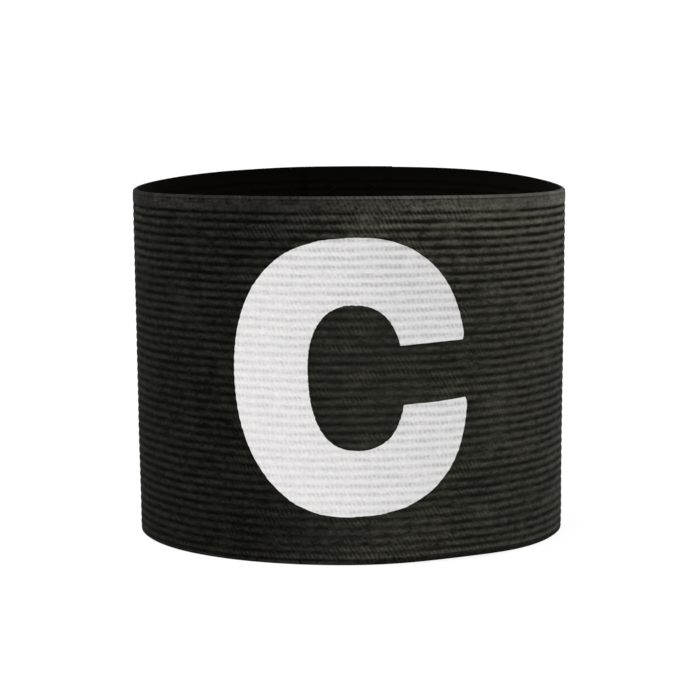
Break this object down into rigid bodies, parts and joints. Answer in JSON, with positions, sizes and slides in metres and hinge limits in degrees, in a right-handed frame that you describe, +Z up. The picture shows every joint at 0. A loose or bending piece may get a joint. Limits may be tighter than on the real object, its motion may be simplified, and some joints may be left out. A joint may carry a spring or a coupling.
{
  "type": "captain armband",
  "caption": "Wide ribbed elastic armband bent into an upright loop, ends lapped at the back, with a large printed letter C on the front.",
  "frame": {"origin": "middle of the floor that the armband covers, under the loop, at the height of its lower rim", "axes": "+Z up through the loop, -Y the front with the letter, +X to the right of somebody who looks at the front"},
  "size_m": [0.0864, 0.0888, 0.07],
  "materials": {
    "elastic": "black ribbed woven elastic, matt with a slight sheen",
    "print": "white heat-pressed print, matt, following the ribs"
  },
  "bodies": {
    "root": {"elastic_band": "elastic", "printed_letter": "print"}
  },
  "joints": []
}
